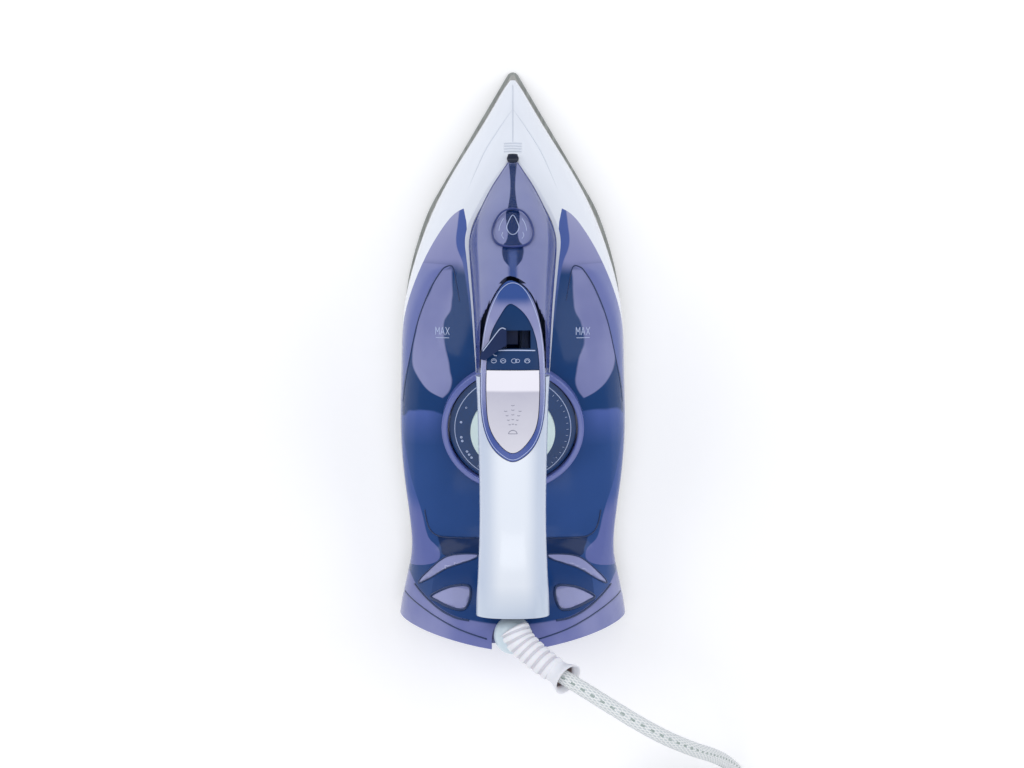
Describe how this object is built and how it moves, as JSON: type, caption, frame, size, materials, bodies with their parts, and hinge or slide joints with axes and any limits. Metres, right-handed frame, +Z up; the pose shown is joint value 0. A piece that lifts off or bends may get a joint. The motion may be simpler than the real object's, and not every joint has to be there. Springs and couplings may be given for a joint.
{
  "type": "steam iron",
  "caption": "Corded steam iron with a pointed flat soleplate, see-through blue water tank and fill door, turning dial, spray button, trigger, steam lever and a coiled mains lead.",
  "frame": {"origin": "on the soleplate's underside, in the middle of the iron's length, without the lead", "axes": "+Y towards the tip, +Z up out of the soleplate, +X to the right"},
  "size_m": [0.1982, 0.4905, 0.145],
  "materials": {
    "bezel_violet": "clear tinted",
    "brass": "plain",
    "button_white": "satin",
    "cast_aluminium": "as cast",
    "ceramic": "plain",
    "clear_line": "clear",
    "cord_fabric": "braided",
    "dark_parts": "matte",
    "dial_blue": "clear tinted",
    "dial_pale": "satin",
    "door_blue": "clear tinted",
    "heater_tube": "dull",
    "lamp_glass": "clear",
    "panel_navy": "satin",
    "plug_white": "matte",
    "pump_blue": "matte",
    "rubber_pad": "matte",
    "silicone": "matte",
    "sole_steel": "satin",
    "tank_blue": "clear tinted",
    "white_rubber": "satin",
    "white_shell": "gloss",
    "zinc_steel": "plated"
  },
  "bodies": {
    "iron": {"chamber_cover": "zinc_steel", "chamber_gasket": "silicone", "coil_tie": "dark_parts", "column_frame": "white_shell", "control_bezel": "bezel_violet", "control_panel": "panel_navy", "cord_clamp": "dark_parts", "cord_coil": "cord_fabric", "cord_gland": "white_shell", "cord_guard": "white_rubber", "cord_tail": "cord_fabric", "cord_tube": "cord_fabric", "dial_collar": "tank_blue", "door_pins": "dark_parts", "handle_lower": "white_shell", "handle_screws": "zinc_steel", "handle_upper": "white_shell", "head_core": "dark_parts", "heat_shield": "dark_parts", "heater_casting": "cast_aluminium", "heating_element": "heater_tube", "heel_cover": "tank_blue", "heel_pads": "rubber_pad", "inner_lead": "white_rubber", "line_clip": "pump_blue", "line_manifold": "pump_blue", "nose_housing": "white_shell", "pilot_lamp": "lamp_glass", "plug_body": "plug_white", "plug_earth": "brass", "plug_pins": "brass", "shaft_sleeve": "pump_blue", "shot_pump": "pump_blue", "shot_spring": "zinc_steel", "sole_screws": "zinc_steel", "soleplate": "sole_steel", "spray_line": "pump_blue", "spray_nozzle": "dark_parts", "spray_pump": "pump_blue", "spray_spring": "zinc_steel", "supply_lines": "clear_line", "tank_floor": "tank_blue", "terminal_block": "white_shell", "thermal_fuse": "ceramic", "thermostat": "ceramic", "valve_seat": "brass", "water_tank": "tank_blue"},
    "door": {"fill_door": "door_blue"},
    "dial": {"dial_knob": "dial_blue", "dial_cap": "dial_pale", "dial_shaft": "zinc_steel"},
    "spray": {"spray_button": "button_white", "spray_piston": "button_white"},
    "shot": {"shot_trigger": "button_white", "shot_piston": "button_white"},
    "lever": {"steam_lever": "dark_parts"},
    "valve": {"valve_rod": "zinc_steel"}
  },
  "joints": [
    {"name": "door_hinge", "type": "hinge", "parent": "iron", "child": "door", "pos_m": [0, -0.002, 0.114], "axis": [1, 0, 0], "range_deg": [0, 35]},
    {"name": "dial_turn", "type": "hinge", "parent": "iron", "child": "dial", "pos_m": [0, -0.038, 0.065], "axis": [0, -0.3746, 0.9272], "range_deg": [0, 250]},
    {"name": "spray_press", "type": "slide", "parent": "iron", "child": "spray", "axis": [0, 0, -1], "range_m": [0, 0.003], "stiffness_N_per_m": 400, "springref_m": -0.002, "deforming": ["spray_spring"]},
    {"name": "shot_pull", "type": "slide", "parent": "iron", "child": "shot", "axis": [0, 0, 1], "range_m": [0, 0.003], "stiffness_N_per_m": 400, "springref_m": -0.002, "deforming": ["shot_spring"]},
    {"name": "steam_slide", "type": "slide", "parent": "iron", "child": "lever", "axis": [1, 0, 0], "range_m": [0, 0.007]},
    {"name": "valve_lift", "type": "slide", "parent": "iron", "child": "valve", "axis": [0, 0, 1], "range_m": [0, 0.0014]}
  ],
  "couplings": [
    {"joint": "valve_lift", "follows": "steam_slide", "ratio": 0.2}
  ]
}
